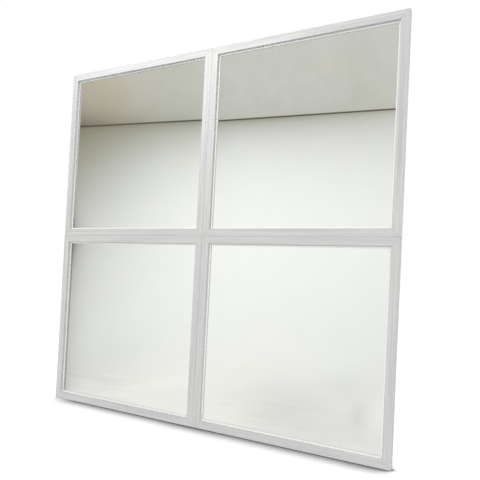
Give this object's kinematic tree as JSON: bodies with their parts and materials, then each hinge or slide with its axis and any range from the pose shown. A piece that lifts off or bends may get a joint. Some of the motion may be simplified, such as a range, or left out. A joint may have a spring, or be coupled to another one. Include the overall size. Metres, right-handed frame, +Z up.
{
  "type": "panelled wall mirror",
  "caption": "Square wall or leaning mirror made of mitred, white-washed timber panels joined edge to edge, with swinging hanging rings behind.",
  "frame": {"origin": "middle of the bottom edge, half way between the front faces and the backs of the wall pads", "axes": "+Z up, -Y out of the front, towards the viewer, +X the viewer's right"},
  "size_m": [1.2, 0.028, 1.2],
  "materials": {
    "whitewashed_wood": "white-washed, matt, streaked along the grain",
    "mirror_glass": "silvered float glass with polished edges",
    "hardboard": "smooth brown hardboard",
    "tinned_steel": "bright flat steel",
    "zinc_steel": "zinc plated",
    "screw_steel": "zinc plated",
    "hanger_brass": "brass plated",
    "screw_brass": "brass plated",
    "pad_rubber": "matt"
  },
  "bodies": {
    "root": {"upper_left_bottom_rail": "whitewashed_wood", "upper_left_left_stile": "whitewashed_wood", "upper_left_top_rail": "whitewashed_wood", "upper_left_right_stile": "whitewashed_wood", "upper_right_bottom_rail": "whitewashed_wood", "upper_right_left_stile": "whitewashed_wood", "upper_right_top_rail": "whitewashed_wood", "upper_right_right_stile": "whitewashed_wood", "lower_left_bottom_rail": "whitewashed_wood", "lower_left_left_stile": "whitewashed_wood", "lower_left_top_rail": "whitewashed_wood", "lower_left_right_stile": "whitewashed_wood", "lower_right_bottom_rail": "whitewashed_wood", "lower_right_left_stile": "whitewashed_wood", "lower_right_top_rail": "whitewashed_wood", "lower_right_right_stile": "whitewashed_wood", "upper_left_mirror_pane": "mirror_glass", "upper_left_backing_board": "hardboard", "upper_left_glazing_points": "tinned_steel", "upper_left_corner_nails": "tinned_steel", "upper_right_mirror_pane": "mirror_glass", "upper_right_backing_board": "hardboard", "upper_right_glazing_points": "tinned_steel", "upper_right_corner_nails": "tinned_steel", "lower_left_mirror_pane": "mirror_glass", "lower_left_backing_board": "hardboard", "lower_left_glazing_points": "tinned_steel", "lower_left_corner_nails": "tinned_steel", "lower_right_mirror_pane": "mirror_glass", "lower_right_backing_board": "hardboard", "lower_right_glazing_points": "tinned_steel", "lower_right_corner_nails": "tinned_steel", "top_joining_plate": "zinc_steel", "bottom_joining_plate": "zinc_steel", "left_joining_plate": "zinc_steel", "right_joining_plate": "zinc_steel", "cross_joining_plate": "zinc_steel", "joining_plate_screws": "screw_steel", "left_hanger_strap": "hanger_brass", "right_hanger_strap": "hanger_brass", "hanger_screws": "screw_brass", "wall_pads": "pad_rubber"},
    "left_ring": {"left_hanging_ring": "hanger_brass"},
    "right_ring": {"right_hanging_ring": "hanger_brass"}
  },
  "joints": [
    {"name": "left_ring_swing", "type": "hinge", "parent": "root", "child": "left_ring", "pos_m": [-0.58875, 0.0109, 1.09], "axis": [1, 0, 0], "range_deg": [0, 180]},
    {"name": "right_ring_swing", "type": "hinge", "parent": "root", "child": "right_ring", "pos_m": [0.58875, 0.0109, 1.09], "axis": [1, 0, 0], "range_deg": [0, 180]}
  ]
}
